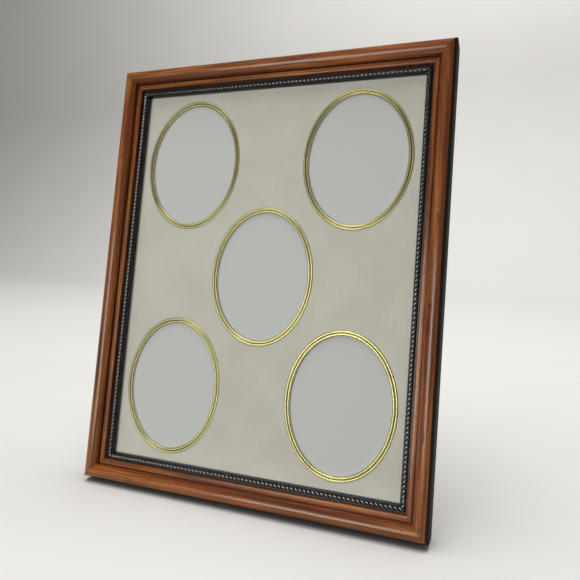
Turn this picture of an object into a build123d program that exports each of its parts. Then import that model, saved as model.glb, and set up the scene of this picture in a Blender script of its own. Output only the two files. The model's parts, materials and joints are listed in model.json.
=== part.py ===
from build123d import *
import math
import os

# Collage photo frame for an 11 by 14 inch mat with five oval openings.
# It is modelled lying on its back: the centre of the sight opening over the origin, the back of the moulding
# on the XY plane, +Y up the frame and +Z out of its front. At the end it is stood up, leaning back on its
# lower back edge and the foot of its leg.

# Picture size, and how the frame holds it
picture_width = 279.4
picture_height = 355.6
sight_lap = 6.35
rabbet_gap = 1.6
board_trim = 0.5

# How it stands
lean_angle = 13.0
leg_angle = 26.0
hinge_drop = 107.75

# What lies in the rabbet, from the back
board_thickness = 3.0
filler_thickness = 3.2
paper_thickness = 0.3
mat_thickness = 1.5
ring_base = 0.25
ring_bead_height = 0.45
glass_thickness = 2.0

# Moulding, in distances outward from the sight edge and heights above the glass
half_round_radius = 6.4
half_round_height = 7.5
groove_width = 0.7
groove_depth = 1.5
lip_inner = 6.3
lip_width = 4.2
lip_height = 7.3
lip_inner_round = 1.3
lip_outer_round = 0.5
back_edge_ease = 0.8

# Black slip under the lip, with its row of rope beads
flange_thickness = 2.0
flange_gap = 0.2
slip_gap = 0.2
slip_height = 3.2
slip_foot = 0.4
slip_draft = 0.35
rope_radius = 2.1
rope_centre = 2.9
rope_pitch = 3.7
rope_slant = 50.0
rope_root = 0.35
rope_flats = 3
rope_crest_share = 0.3

# Oval openings and their rings
opening_width = 86.4
opening_height = 113.4
oval_flats = 36
ring_setback = 0.2
ring_band = 4.7
oval_margin_x = 10.95
oval_margin_y = 11.35

# Corner nails, pressed in from the back across each mitre
nail_leg = 6.0
nail_thickness = 0.6
nail_depth = 8.0
nail_insets = (13.0, 19.5)
nail_fit = 0.05

# Butt hinge of the leg
leaf_width = 40.0
leaf_length = 20.0
leaf_thickness = 0.8
leaf_corner = 2.0
knuckle_radius = 2.0
knuckle_width = 12.0
knuckle_gap = 0.3
pin_radius = 1.0
pin_fit = 0.05
pin_head_radius = 1.7
pin_head = 0.6
hinge_lift = 0.2

# Leg
leg_top_width = 46.0
leg_foot_width = 78.0
leg_thickness = 3.0
leg_top_gap = 0.6
leg_corner = 5.0

# Flats round a small fastener, and round a hinge's bore or a button's tip
fastener_flats = 8
bore_flats = 16

# Rivets
rivet_radius = 1.2
rivet_fit = 0.05
rivet_dome_radius = 2.3
rivet_dome = 1.1
rivet_bevel = 0.8
rivet_flush_radius = 2.0
rivet_flush = 0.5
rivet_flat = 0.45
leaf_rivet_spread = 24.0
leaf_rivet_distance = 12.0

# Ribbon that stops the leg
ribbon_width = 12.0
ribbon_thickness = 0.4
ribbon_tab = 12.0
ribbon_board_rise = 29.85
ribbon_leg_rise = 32.3

# Turn buttons and their screws
button_thickness = 1.0
button_play = 0.05
button_pivot_radius = 4.4
button_tip_radius = 3.2
button_reach = 10.5
button_inset = 12.0
button_fit = 0.08
button_side_spread = 190.0
button_end_spread = 150.0
screw_radius = 1.5
screw_length = 12.0
screw_head_radius = 3.0
screw_head = 1.5
screw_head_bevel = 1.0
screw_slot_width = 0.7
screw_slot_depth = 0.6
screw_fit = 0.05

# Hanger near the top of the back board
hanger_drop = 17.3
strap_width = 8.0
strap_length = 25.5
strap_thickness = 0.8
strap_knuckle_radius = 1.7
strap_lift = 0.1
strap_top_distance = 6.5
strap_end_distance = 4.5
wire_radius = 0.8
wire_fit = 0.1
wire_width = 20.0
wire_height = 15.0
wire_corner = 2.6
wire_bend_chords = 3

# One overrun for every cut
overrun = 5.0

# Levels up from the back of the moulding
filler_level = board_thickness
paper_level = filler_level + filler_thickness
mat_level = paper_level + paper_thickness
ring_level = mat_level + mat_thickness
glass_level = ring_level + ring_base + ring_bead_height
glass_front = glass_level + glass_thickness
lip_level = glass_front + flange_thickness
lip_top = glass_front + lip_height
spring_level = glass_front + half_round_height
slip_top = glass_front + slip_height

sight_width = picture_width - 2 * sight_lap
sight_height = picture_height - 2 * sight_lap
lip_outer = lip_inner + lip_width
round_start = lip_outer + groove_width
rail_width = round_start + 2 * half_round_radius
outer_width = sight_width + 2 * rail_width
outer_height = sight_height + 2 * rail_width
rabbet_edge = sight_lap + rabbet_gap
board_width = picture_width - 2 * board_trim
board_height = picture_height - 2 * board_trim

# Hinge axis of the leg, and the leg's own plane: +Y up the leg, +Z towards the board
axis_gap = knuckle_radius + hinge_lift
axis_y = board_height / 2 - hinge_drop
hinge_height = outer_height / 2 + axis_y
tilt = math.radians(leg_angle)
lean = math.radians(lean_angle)
leg_plane = Plane((0, axis_y, -axis_gap), x_dir=(1, 0, 0), z_dir=(0, -math.sin(tilt), math.cos(tilt)))
leg_face = knuckle_radius - leaf_thickness
floor = Plane((0, -outer_height / 2, back_edge_ease), x_dir=(1, 0, 0), z_dir=(0, math.cos(lean), math.sin(lean)))
axis_drop = hinge_height * math.cos(lean) - (axis_gap + back_edge_ease) * math.sin(lean)
leg_length = axis_drop / math.cos(tilt - lean)

# Where the ribbon bends to its tabs, and where the hanger hangs
ribbon_board_end = ribbon_board_rise + ribbon_tab - board_height / 2
ribbon_leg_distance = leg_length - ribbon_leg_rise - ribbon_tab
hanger_height = board_height / 2 - hanger_drop
strap_rivet_distances = (strap_top_distance, strap_length - strap_end_distance)

oval_offset_x = sight_width / 2 - oval_margin_x - opening_width / 2
oval_offset_y = sight_height / 2 - oval_margin_y - opening_height / 2

oval_places = {
    "top_left": (-oval_offset_x, oval_offset_y),
    "top_right": (oval_offset_x, oval_offset_y),
    "centre": (0, 0),
    "bottom_left": (-oval_offset_x, -oval_offset_y),
    "bottom_right": (oval_offset_x, -oval_offset_y),
}

# Each side of the frame: its outward direction, the distance to its sight edge and half the edge's length
sides = {
    "top": (Vector(0, 1, 0), sight_height / 2, sight_width / 2),
    "bottom": (Vector(0, -1, 0), sight_height / 2, sight_width / 2),
    "left": (Vector(-1, 0, 0), sight_width / 2, sight_height / 2),
    "right": (Vector(1, 0, 0), sight_width / 2, sight_height / 2),
}

pieces = {}


def keep(name, solid):
    """Give a finished piece its name and put it with the others."""
    solid.label = name
    pieces[name] = solid


# Places on a side: the plane square to it, with X outward and Y up, and the cuts at its mitres


def section_plane(side):
    outward, distance, _ = sides[side]
    return Plane(outward * distance, x_dir=outward, z_dir=outward.cross(Vector(0, 0, 1)))


def cut_mitres(side):
    outward, distance, half_length = sides[side]
    along = outward.cross(Vector(0, 0, 1))
    for end in (along, -along):
        corner = outward * distance + end * half_length
        split(bisect_by=Plane(corner, x_dir=(0, 0, 1), z_dir=end - outward), keep=Keep.BOTTOM)


# Corner nails: an angle of thin steel with its bend on the mitre and a leg in each rail


def corner_nails(grow):
    with BuildPart() as nails:
        with BuildSketch():
            for side_x in (-1, 1):
                for side_y in (-1, 1):
                    for inset in nail_insets:
                        bend_x = side_x * (sight_width / 2 + inset)
                        bend_y = side_y * (sight_height / 2 + inset)
                        back = (nail_leg - nail_thickness) / 2
                        with Locations((bend_x - side_x * back, bend_y)):
                            Rectangle(nail_leg + 2 * grow, nail_thickness + 2 * grow)
                        with Locations((bend_x, bend_y - side_y * back)):
                            Rectangle(nail_thickness + 2 * grow, nail_leg + 2 * grow)
        extrude(amount=nail_depth + grow)
    return nails.part


# Turn buttons: where each is pivoted, and the direction in which it points at rest, over the board


def button_places():
    across = sight_width / 2 + button_inset
    up = sight_height / 2 + button_inset
    side_y = button_side_spread / 2
    end_x = button_end_spread / 2
    return {
        "left_low": (-across, -side_y, 0),
        "left_high": (-across, side_y, 0),
        "right_low": (across, -side_y, 180),
        "right_high": (across, side_y, 180),
        "bottom_left": (-end_x, -up, 90),
        "bottom_right": (end_x, -up, 90),
        "top_left": (-end_x, up, -90),
        "top_right": (end_x, up, -90),
    }


# Rails: the wooden moulding, cut to its mitres, with slots for the nails and holes for the screws

nail_slots = corner_nails(nail_fit)


def rail(side):
    _, _, half_length = sides[side]
    with BuildPart() as body:
        with BuildSketch(section_plane(side)):
            with BuildLine():
                groove_level = lip_top - groove_depth
                Polyline(
                    (rabbet_edge, 0),
                    (rail_width - back_edge_ease, 0),
                    (rail_width, back_edge_ease),
                    (rail_width, spring_level),
                )
                CenterArc((rail_width - half_round_radius, spring_level), half_round_radius, 0, 180)
                Polyline(
                    (round_start, spring_level),
                    (round_start, groove_level),
                    (lip_outer, groove_level),
                    (lip_outer, lip_top - lip_outer_round),
                )
                CenterArc((lip_outer - lip_outer_round, lip_top - lip_outer_round), lip_outer_round, 0, 90)
                Line((lip_outer - lip_outer_round, lip_top), (lip_inner + lip_inner_round, lip_top))
                CenterArc((lip_inner + lip_inner_round, lip_top - lip_inner_round), lip_inner_round, 90, 90)
                Polyline(
                    (lip_inner, lip_top - lip_inner_round),
                    (lip_inner, lip_level),
                    (rabbet_edge, lip_level),
                    (rabbet_edge, 0),
                )
            make_face()
        extrude(amount=half_length + rail_width + overrun, both=True)
        cut_mitres(side)
        add(nail_slots, mode=Mode.SUBTRACT)
        for x, y, _ in button_places().values():
            with BuildSketch(Plane((x, y, 0))):
                RegularPolygon(screw_radius + screw_fit, fastener_flats)
            extrude(amount=screw_length, mode=Mode.SUBTRACT)
    return body.part


# Slips: a flange under the rail's lip and a rope ridge of flats, cut across by slanted V grooves into lobes


def slip(side):
    outward, _, half_length = sides[side]
    plane = section_plane(side)
    with BuildPart() as body:
        with BuildSketch(plane):
            with BuildLine():
                ridge = [
                    (
                        rope_centre + rope_radius * math.cos(math.pi * step / rope_flats),
                        slip_top + rope_radius * math.sin(math.pi * step / rope_flats),
                    )
                    for step in range(rope_flats + 1)
                ]
                slip_edge = lip_inner - slip_gap
                Polyline(
                    (0, glass_front),
                    (rabbet_edge - flange_gap, glass_front),
                    (rabbet_edge - flange_gap, lip_level),
                    (slip_edge, lip_level),
                    (slip_edge, slip_top),
                    *ridge,
                    (slip_draft, slip_top),
                    (0, glass_front + slip_foot),
                    close=True,
                )
            make_face()
        extrude(amount=half_length + rail_width + overrun, both=True)
        groove_plane = Plane(
            plane.from_local_coords(Vector(rope_centre, 0, 0)), x_dir=plane.z_dir, z_dir=-outward
        )
        count = 2 * round((half_length + lip_inner) / rope_pitch) + 1
        root = slip_top + rope_root
        mouth = slip_top + rope_radius
        half_mouth = rope_pitch * (1 - rope_crest_share) / 2
        rise = 2 * (mouth - root)
        with BuildSketch(groove_plane):
            with GridLocations(rope_pitch, 0, count, 1):
                Polygon((0, root), (2 * half_mouth, root + rise), (-2 * half_mouth, root + rise), align=None)
        slant = math.radians(rope_slant)
        across = outward * -math.sin(slant) + plane.z_dir * math.cos(slant)
        extrude(amount=2 * rope_radius / math.sin(slant), dir=across, both=True, mode=Mode.SUBTRACT)
        cut_mitres(side)
    return body.part


for side in sides:
    keep("rail_" + side, rail(side))
for side in sides:
    keep("slip_" + side, slip(side))
keep("corner_nails", corner_nails(0))


# Ovals, as flats between points of the ellipse: an opening's own, or one that is larger all round


def oval(grow=0):
    turns = [2 * math.pi * flat / oval_flats for flat in range(oval_flats)]
    across = opening_width / 2 + grow
    up = opening_height / 2 + grow
    return Polygon(*[(across * math.cos(turn), up * math.sin(turn)) for turn in turns], align=None)


# Glass, mat, paper and filler, lying on one another in the rabbet

with BuildPart() as glass:
    with BuildSketch(Plane.XY.offset(glass_level)):
        Rectangle(picture_width, picture_height)
    extrude(amount=glass_thickness)
keep("glass_pane", glass.part)

with BuildPart() as mat:
    with BuildSketch(Plane.XY.offset(mat_level)):
        Rectangle(board_width, board_height)
    extrude(amount=mat_thickness)
    with BuildSketch(Plane.XY.offset(mat_level)):
        with Locations(*oval_places.values()):
            oval()
    extrude(amount=mat_thickness, mode=Mode.SUBTRACT)
keep("mat_board", mat.part)

with BuildPart() as paper:
    with BuildSketch(Plane.XY.offset(paper_level)):
        Rectangle(board_width, board_height)
    extrude(amount=paper_thickness)
keep("backing_paper", paper.part)

with BuildPart() as filler:
    with BuildSketch(Plane.XY.offset(filler_level)):
        Rectangle(board_width, board_height)
    extrude(amount=filler_thickness)
keep("filler_card", filler.part)


# Gold rings: a thin oval band on the mat with two raised lines that run round it and touch the glass


def ring(place):
    inner = ring_setback
    outer = ring_setback + ring_band
    middle = (inner + outer) / 2
    with BuildPart() as body:
        with BuildSketch(Plane((*place, ring_level))):
            oval(outer)
        extrude(amount=ring_base)
        for start, end in ((middle, outer), (inner, middle)):
            crest = (start + end) / 2
            for foot, mode in ((end, Mode.ADD), (start, Mode.SUBTRACT)):
                with BuildSketch(Plane((*place, ring_level + ring_base))):
                    oval(foot)
                with BuildSketch(Plane((*place, glass_level))):
                    oval(crest)
                loft(ruled=True, mode=mode)
        with BuildSketch(Plane((*place, ring_level))):
            oval(inner)
        extrude(amount=ring_base, mode=Mode.SUBTRACT)
    return body.part


for name, place in oval_places.items():
    keep("ring_" + name, ring(place))


# Rivets: a shank with a flush head at its foot, standing up Z, and a bevelled or a flat head on top


def rivet(place, grip, flat=False):
    with BuildPart() as body:
        with BuildSketch(place):
            RegularPolygon(rivet_flush_radius, fastener_flats)
        extrude(amount=rivet_flush)
        with BuildSketch(place):
            RegularPolygon(rivet_radius, fastener_flats)
        extrude(amount=grip)
        with BuildSketch(place.offset(grip)):
            RegularPolygon(rivet_dome_radius, fastener_flats)
        extrude(amount=rivet_flat if flat else rivet_dome)
        if not flat:
            chamfer(body.faces().sort_by(Axis(place.origin, place.z_dir))[-1].edges(), rivet_bevel)
    return body.part


def rivet_hole(place, depth):
    """The hole for a rivet whose flush head starts on the place's plane."""
    with BuildPart() as hole:
        with BuildSketch(place):
            RegularPolygon(rivet_flush_radius + rivet_fit, fastener_flats)
        extrude(amount=rivet_flush)
        with BuildSketch(place):
            RegularPolygon(rivet_radius + rivet_fit, fastener_flats)
        extrude(amount=depth + overrun)
    return hole.part


def backward(x, y):
    """A place on the front of the back board, looking out of its back."""
    return Plane((x, y, board_thickness), x_dir=(1, 0, 0), z_dir=(0, 0, -1))


def leg_place(x, distance, height, away=1):
    """A place on the leg, a distance down from the hinge, looking to the board or away from it."""
    origin = leg_plane.from_local_coords(Vector(x, -distance, height))
    return Plane(origin, x_dir=(1, 0, 0), z_dir=leg_plane.z_dir * away)


leaf_rivet_x = (-leaf_rivet_spread / 2, leaf_rivet_spread / 2)
board_leaf_rivets = [backward(x, axis_y + leaf_rivet_distance) for x in leaf_rivet_x]
leg_leaf_rivets = [leg_place(x, leaf_rivet_distance, knuckle_radius, -1) for x in leaf_rivet_x]
ribbon_board_rivet = backward(0, ribbon_board_end - ribbon_tab / 2)
ribbon_leg_rivet = leg_place(0, ribbon_leg_distance + ribbon_tab / 2, leg_face - leg_thickness)
strap_rivets = [backward(0, hanger_height - distance) for distance in strap_rivet_distances]

board_leaf_holes = [rivet_hole(place, board_thickness) for place in board_leaf_rivets]
leg_leaf_holes = [rivet_hole(place, leaf_thickness + leg_thickness) for place in leg_leaf_rivets]
ribbon_board_hole = [rivet_hole(ribbon_board_rivet, board_thickness)]
ribbon_leg_hole = [rivet_hole(ribbon_leg_rivet, leg_thickness)]
strap_holes = [rivet_hole(place, board_thickness) for place in strap_rivets]


# Back board, flush with the back of the moulding

with BuildPart() as board:
    with BuildSketch():
        Rectangle(board_width, board_height)
    extrude(amount=board_thickness)
    add(board_leaf_holes + ribbon_board_hole + strap_holes, mode=Mode.SUBTRACT)
keep("back_board", board.part)


# Leg: a tapered board, its foot cut to stand flat on the table

with BuildPart() as leg:
    with BuildSketch(leg_plane.offset(leg_face - leg_thickness)):
        top = -(knuckle_radius + leg_top_gap)
        foot = -(leg_length + overrun)
        half_top = leg_top_width / 2
        half_foot = leg_foot_width / 2
        with BuildLine():
            Polyline((-half_top, top), (half_top, top), (half_foot, foot), (-half_foot, foot), close=True)
        make_face()
    extrude(amount=leg_thickness)
    edges = leg.edges().filter_by(Axis(leg_plane.origin, leg_plane.z_dir))
    fillet(edges.group_by(Axis(leg_plane.origin, leg_plane.y_dir))[-1], leg_corner)
    split(bisect_by=floor, keep=Keep.TOP)
    add(leg_leaf_holes + ribbon_leg_hole, mode=Mode.SUBTRACT)
keep("easel_leg", leg.part)


# Hinge: two leaves rolled into knuckles round one pin


def leaf(plane, level, way, spans, holes):
    """One leaf, its plate's inner face at a level and running up or down the plane from the pin."""
    root = way * (knuckle_radius + knuckle_gap)
    end = way * leaf_length
    with BuildPart() as body:
        with BuildSketch(plane.offset(level)) as plate:
            with Locations((0, (root + end) / 2)):
                Rectangle(leaf_width, abs(end - root))
            chamfer(plate.vertices().group_by(Axis.Y)[0 if way < 0 else -1], leaf_corner)
            for low, high in spans:
                with Locations(((low + high) / 2, root / 2)):
                    Rectangle(high - low, abs(root))
        extrude(amount=leaf_thickness)
        for low, high in spans:
            with BuildSketch(Plane(plane.from_local_coords(Vector(low, 0, 0)), z_dir=(1, 0, 0))):
                Circle(knuckle_radius)
            extrude(amount=high - low)
        with BuildSketch(Plane(plane.origin, z_dir=(1, 0, 0))):
            RegularPolygon(pin_radius + pin_fit, bore_flats, major_radius=False)
        extrude(amount=leaf_width, both=True, mode=Mode.SUBTRACT)
        add(holes, mode=Mode.SUBTRACT)
    return body.part


knuckle_end = leaf_width / 2
knuckle_root = knuckle_end - knuckle_width
middle = knuckle_root - knuckle_gap
board_plane = Plane((0, axis_y, -axis_gap))
keep(
    "hinge_leaf_board",
    leaf(
        board_plane,
        axis_gap - leaf_thickness,
        1,
        [(-knuckle_end, -knuckle_root), (knuckle_root, knuckle_end)],
        board_leaf_holes,
    ),
)
keep("hinge_leaf_leg", leaf(leg_plane, leg_face, -1, [(-middle, middle)], leg_leaf_holes))

with BuildPart() as pin:
    with BuildSketch(Plane(board_plane.origin, z_dir=(1, 0, 0))):
        Circle(pin_radius)
    extrude(amount=knuckle_end + pin_head, both=True)
    for end in (-1, 1):
        with BuildSketch(Plane(board_plane.origin + Vector(end * knuckle_end, 0, 0), z_dir=(end, 0, 0))):
            RegularPolygon(pin_head_radius, fastener_flats)
        extrude(amount=pin_head)
keep("hinge_pin", pin.part)

board_rivets = [rivet(place, board_thickness + leaf_thickness) for place in board_leaf_rivets]
keep("hinge_rivets_board", Compound(children=board_rivets))
leg_rivets = [rivet(place, leaf_thickness + leg_thickness) for place in leg_leaf_rivets]
keep("hinge_rivets_leg", Compound(children=leg_rivets))


# Ribbon: woven tape pulled tight between the back board and the leg, with a riveted tab at each end

with BuildPart() as ribbon:
    with BuildSketch(Plane((-ribbon_width / 2, 0, 0), x_dir=(0, 1, 0), z_dir=(1, 0, 0))):
        with BuildLine() as route:
            leg_end = leg_plane.from_local_coords(Vector(0, -ribbon_leg_distance, leg_face))
            leg_tab = leg_plane.from_local_coords(Vector(0, -ribbon_leg_distance - ribbon_tab, leg_face))
            board_tab = ribbon_board_end - ribbon_tab
            Polyline((board_tab, 0), (ribbon_board_end, 0), (leg_end.Y, leg_end.Z), (leg_tab.Y, leg_tab.Z))
            offset(amount=ribbon_thickness, side=Side.RIGHT, kind=Kind.INTERSECTION, closed=True)
        make_face()
    extrude(amount=ribbon_width)
    add(ribbon_board_hole + ribbon_leg_hole, mode=Mode.SUBTRACT)
keep("leg_ribbon", ribbon.part)
keep("ribbon_rivet_board", rivet(ribbon_board_rivet, board_thickness + ribbon_thickness, flat=True))
keep("ribbon_rivet_leg", rivet(ribbon_leg_rivet, leg_thickness + ribbon_thickness, flat=True))


# Turn buttons: flat brass tongues, each turning on its own screw


def turn_button(x, y, angle):
    turn = math.radians(angle)
    back = -(button_play + button_thickness)
    place = Plane((x, y, back), x_dir=(math.cos(turn), math.sin(turn), 0), z_dir=(0, 0, 1))
    with BuildPart() as body:
        with BuildSketch(place):
            Circle(button_pivot_radius)
            with Locations((button_reach - button_tip_radius, 0)):
                RegularPolygon(button_tip_radius, bore_flats)
            make_hull()
        extrude(amount=button_thickness)
        with BuildSketch(place):
            RegularPolygon(screw_radius + button_fit, fastener_flats, major_radius=False)
        extrude(amount=button_thickness, mode=Mode.SUBTRACT)
    return body.part


def button_screw(x, y):
    back = -(button_thickness + 2 * button_play)
    seat = Plane((x, y, back), x_dir=(1, 0, 0), z_dir=(0, 0, -1))
    with BuildPart() as body:
        with BuildSketch(seat):
            RegularPolygon(screw_radius, fastener_flats)
        extrude(amount=-screw_length)
        with BuildSketch(seat):
            RegularPolygon(screw_head_radius, fastener_flats)
        extrude(amount=screw_head)
        chamfer(body.faces().sort_by(Axis.Z)[0].edges(), screw_head_bevel)
        with BuildSketch(seat.offset(screw_head - screw_slot_depth)):
            Rectangle(2 * screw_head_radius, screw_slot_width)
        extrude(amount=screw_slot_depth, mode=Mode.SUBTRACT)
    return body.part


for name, (x, y, angle) in button_places().items():
    keep("turn_button_" + name, turn_button(x, y, angle))
screws = [button_screw(x, y) for x, y, _ in button_places().values()]
keep("button_screws", Compound(children=screws))


# Hanger: a riveted strap rolled round one side of a wire triangle, which hangs straight down

strap_axis = Vector(0, hanger_height, -(strap_knuckle_radius + strap_lift))

with BuildPart() as strap:
    with BuildSketch(Plane((0, hanger_height - strap_length / 2, -strap_thickness))):
        Rectangle(strap_width, strap_length)
    extrude(amount=strap_thickness)
    with BuildSketch(Plane(strap_axis, z_dir=(1, 0, 0))):
        Circle(strap_knuckle_radius)
    extrude(amount=strap_width / 2, both=True)
    with BuildSketch(Plane(strap_axis, z_dir=(1, 0, 0))):
        RegularPolygon(wire_radius + wire_fit, bore_flats, major_radius=False)
    extrude(amount=strap_width, both=True, mode=Mode.SUBTRACT)
    add(strap_holes, mode=Mode.SUBTRACT)
keep("hanger_strap", strap.part)
strap_pins = [rivet(place, board_thickness + strap_thickness) for place in strap_rivets]
keep("hanger_rivets", Compound(children=strap_pins))

with BuildPart() as wire:
    hanging = Plane(strap_axis, x_dir=(1, 0, 0), z_dir=(0, -math.sin(lean), math.cos(lean)))
    with BuildLine(hanging, mode=Mode.PRIVATE) as loop:
        corners = [(-wire_width / 2, 0), (wire_width / 2, 0), (0, -wire_height)]
        FilletPolyline(*corners, radius=wire_corner, close=True)
    with BuildLine() as route:
        shares = [chord / wire_bend_chords for chord in range(wire_bend_chords + 1)]
        bends = loop.edges().filter_by(GeomType.CIRCLE)
        Polyline(*[bend @ share for bend in bends for share in shares], close=True)
    with BuildSketch(Plane(route.line @ 0, z_dir=route.line % 0)):
        RegularPolygon(wire_radius, fastener_flats)
    sweep(path=route.line, transition=Transition.RIGHT)
keep("hanger_ring", wire.part)


# Stood up: turned to its lean, then moved so that the origin is under the middle of what it stands on

upright = Location((0, 0, 0), (90 - lean_angle, 0, 0))
boxes = [piece.moved(upright).bounding_box() for piece in pieces.values()]
middle_y = (min(box.min.Y for box in boxes) + max(box.max.Y for box in boxes)) / 2
floor_z = (upright * Location(floor.origin)).position.Z
standing = Location((0, -middle_y, -floor_z)) * upright

os.makedirs("parts", exist_ok=True)
for name, piece in pieces.items():
    placed = piece.moved(standing)
    placed.label = name
    export_step(placed, "parts/" + name + ".step")


def report(name, point):
    """Print a place on the standing frame, in metres."""
    spot = (standing * Location(point)).position
    print(name, [round(value / 1000, 6) for value in spot])


report("leg hinge", Vector(0, axis_y, -axis_gap))
report("hanger hinge", strap_axis)
report("sight centre", Vector(0, 0, glass_front))
report("base", Vector(0, -outer_height / 2, (back_edge_ease + spring_level) / 2))
report("foot", leg_plane.from_local_coords(Vector(0, -leg_length, leg_face - leg_thickness / 2)))
for name, (x, y, _) in button_places().items():
    report("button " + name, Vector(x, y, 0))
print("leg length", round(leg_length, 2), "outer", outer_width, outer_height, "glass front", glass_front)
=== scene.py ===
import json
import math

import bmesh
import bpy
import mathutils
import numpy as np
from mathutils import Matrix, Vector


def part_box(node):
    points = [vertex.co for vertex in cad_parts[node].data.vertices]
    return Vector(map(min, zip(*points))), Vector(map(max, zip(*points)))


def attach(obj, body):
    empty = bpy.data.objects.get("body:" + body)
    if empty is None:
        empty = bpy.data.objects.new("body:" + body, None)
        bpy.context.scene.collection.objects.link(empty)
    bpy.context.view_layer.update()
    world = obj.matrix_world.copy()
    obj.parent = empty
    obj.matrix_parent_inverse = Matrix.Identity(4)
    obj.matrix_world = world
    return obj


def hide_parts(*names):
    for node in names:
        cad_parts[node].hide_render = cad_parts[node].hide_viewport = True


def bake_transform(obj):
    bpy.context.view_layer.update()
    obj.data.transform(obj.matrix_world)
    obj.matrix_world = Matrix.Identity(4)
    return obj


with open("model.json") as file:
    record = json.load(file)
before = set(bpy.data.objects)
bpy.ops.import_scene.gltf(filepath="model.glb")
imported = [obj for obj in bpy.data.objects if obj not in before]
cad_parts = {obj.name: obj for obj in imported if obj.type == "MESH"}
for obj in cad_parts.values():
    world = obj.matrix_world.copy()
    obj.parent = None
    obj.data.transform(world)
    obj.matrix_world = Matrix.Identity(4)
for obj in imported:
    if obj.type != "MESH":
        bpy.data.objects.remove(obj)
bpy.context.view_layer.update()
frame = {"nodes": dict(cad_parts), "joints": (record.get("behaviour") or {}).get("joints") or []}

# The rails: four lengths of one stained and lacquered cherry moulding, with a lip, a groove and a
# half-round, milled in one pass, mitred at the corners and glued. Black paint is sprayed on the outer
# side after joining. The back and the rabbet stay as sawn.
lean = math.radians(13.0)
across = np.array([1.0, 0.0, 0.0])
up = np.array([0.0, math.sin(lean), math.cos(lean)])
forward = np.array([0.0, -math.cos(lean), math.sin(lean)])
glass_level = 0.0087
glass_thickness = 0.002
glass_front = glass_level + glass_thickness
glass_middle = np.mean([list(corner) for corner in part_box("glass_pane")], axis=0)
frame_origin = glass_middle - forward * (glass_level + glass_thickness / 2)

picture_width = 0.2794
picture_height = 0.3556
sight_lap = 0.00635
rabbet_edge = sight_lap + 0.0016
sight_half = (picture_width / 2 - sight_lap, picture_height / 2 - sight_lap)
rail_width = 0.024
back_ease = 0.0008
round_radius = 0.0064
round_level = glass_front + 0.0075
round_middle = rail_width - round_radius
groove_outer = rail_width - 2 * round_radius
groove_inner = groove_outer - 0.0007
lip_top = glass_front + 0.0073
lip_inner = 0.0063
lip_level = glass_front + 0.002
lip_inner_round = 0.0013
lip_outer_round = 0.0005
groove_floor = lip_top - 0.0015
mitre_gap = 0.00006
rail_rows = 220

# Outward and along directions of each side, the distance to its sight edge and half that edge's length
sides = {
    "top": ((0, 1), (1, 0), sight_half[1], sight_half[0]),
    "bottom": ((0, -1), (-1, 0), sight_half[1], sight_half[0]),
    "left": ((-1, 0), (0, 1), sight_half[0], sight_half[1]),
    "right": ((1, 0), (0, -1), sight_half[0], sight_half[1]),
}


def stand(x, y, z):
    """A place on the leaning frame: x across it, y up it and z forward from its back."""
    x, y, z = np.broadcast_arrays(x, y, z)
    return frame_origin + x[..., None] * across + y[..., None] * up + z[..., None] * forward


def at_side(side, out, reach, level):
    """A place on one side of the frame, outwards from its sight edge and along it from its middle."""
    outward, along, distance, _ = sides[side]
    x, y = (outward[axis] * (distance + out) + along[axis] * reach for axis in (0, 1))
    return stand(x, y, level)


def run(start, end, count):
    """Evenly spaced points on a straight line."""
    return np.linspace(start, end, count)


def arc(x, y, radius, start, end, count):
    """Points on a circle round (x, y): its radius times the cosine and sine of an even run of angles."""
    turn = np.radians(np.linspace(start, end, count))
    return np.stack([x + radius * np.cos(turn), y + radius * np.sin(turn)], axis=-1)


def rise(value, low, high):
    """0 below low, 1 above high, and the smooth curve 3t^2 - 2t^3 between them."""
    share = np.clip((value - low) / (high - low), 0, 1)
    return share * share * (3 - 2 * share)


def distances(points):
    """How far along a line each of its points lies: the running sum of the steps between them."""
    return np.concatenate([[0], np.cumsum(np.linalg.norm(np.diff(points, axis=0), axis=1))])


def metre_uv(along, round_section, shape):
    """A UV map in metres for a grid: one coordinate along the piece and one round its section."""
    return np.stack([np.broadcast_to(along, shape), np.broadcast_to(round_section, shape)], axis=-1)


def grid_mesh(name, points, uv=(0.0, 0.0), **masks):
    """A mesh from grids of points (copies, rows, columns): four neighbours make a face, then doubles at seams
    and poles are merged and the faces turned outwards."""
    points = points.reshape((-1,) + points.shape[-3:])
    uv = np.broadcast_to(uv, points.shape[:3] + (2,))
    corner = np.arange(points[..., 0].size).reshape(points.shape[:3])
    faces = [corner[:, :-1, :-1], corner[:, 1:, :-1], corner[:, 1:, 1:], corner[:, :-1, 1:]]
    faces = np.stack(faces, axis=-1).reshape(-1, 4)
    mesh = bpy.data.meshes.new(name)
    mesh.vertices.add(corner.size)
    mesh.vertices.foreach_set("co", points.astype(np.float32).ravel())
    mesh.loops.add(faces.size)
    mesh.loops.foreach_set("vertex_index", faces.astype(np.int32).ravel())
    mesh.polygons.add(len(faces))
    mesh.polygons.foreach_set("loop_start", np.arange(0, faces.size, 4, dtype=np.int32))
    mesh.update(calc_edges=True)
    layer = mesh.uv_layers.new(name="UVMap")
    layer.uv.foreach_set("vector", uv.reshape(-1, 2)[faces.ravel()].astype(np.float32).ravel())
    for mask, values in masks.items():
        values = np.broadcast_to(values, points.shape[:3]).astype(np.float32)
        mesh.attributes.new(mask, "FLOAT", "POINT").data.foreach_set("value", values.ravel())
    shell = bmesh.new()
    shell.from_mesh(mesh)
    bmesh.ops.remove_doubles(shell, verts=shell.verts, dist=1e-6)
    bmesh.ops.dissolve_degenerate(shell, edges=shell.edges, dist=1e-6)
    bmesh.ops.recalc_face_normals(shell, faces=shell.faces)
    shell.to_mesh(mesh)
    shell.free()
    return mesh


def gathered(parts, field, width=1, kind=float):
    """One field of all of a mesh's points, corners or faces, as an array."""
    values = np.empty(len(parts) * width, kind)
    parts.foreach_get(field, values)
    return values.reshape(-1, width) if width > 1 else values


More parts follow.
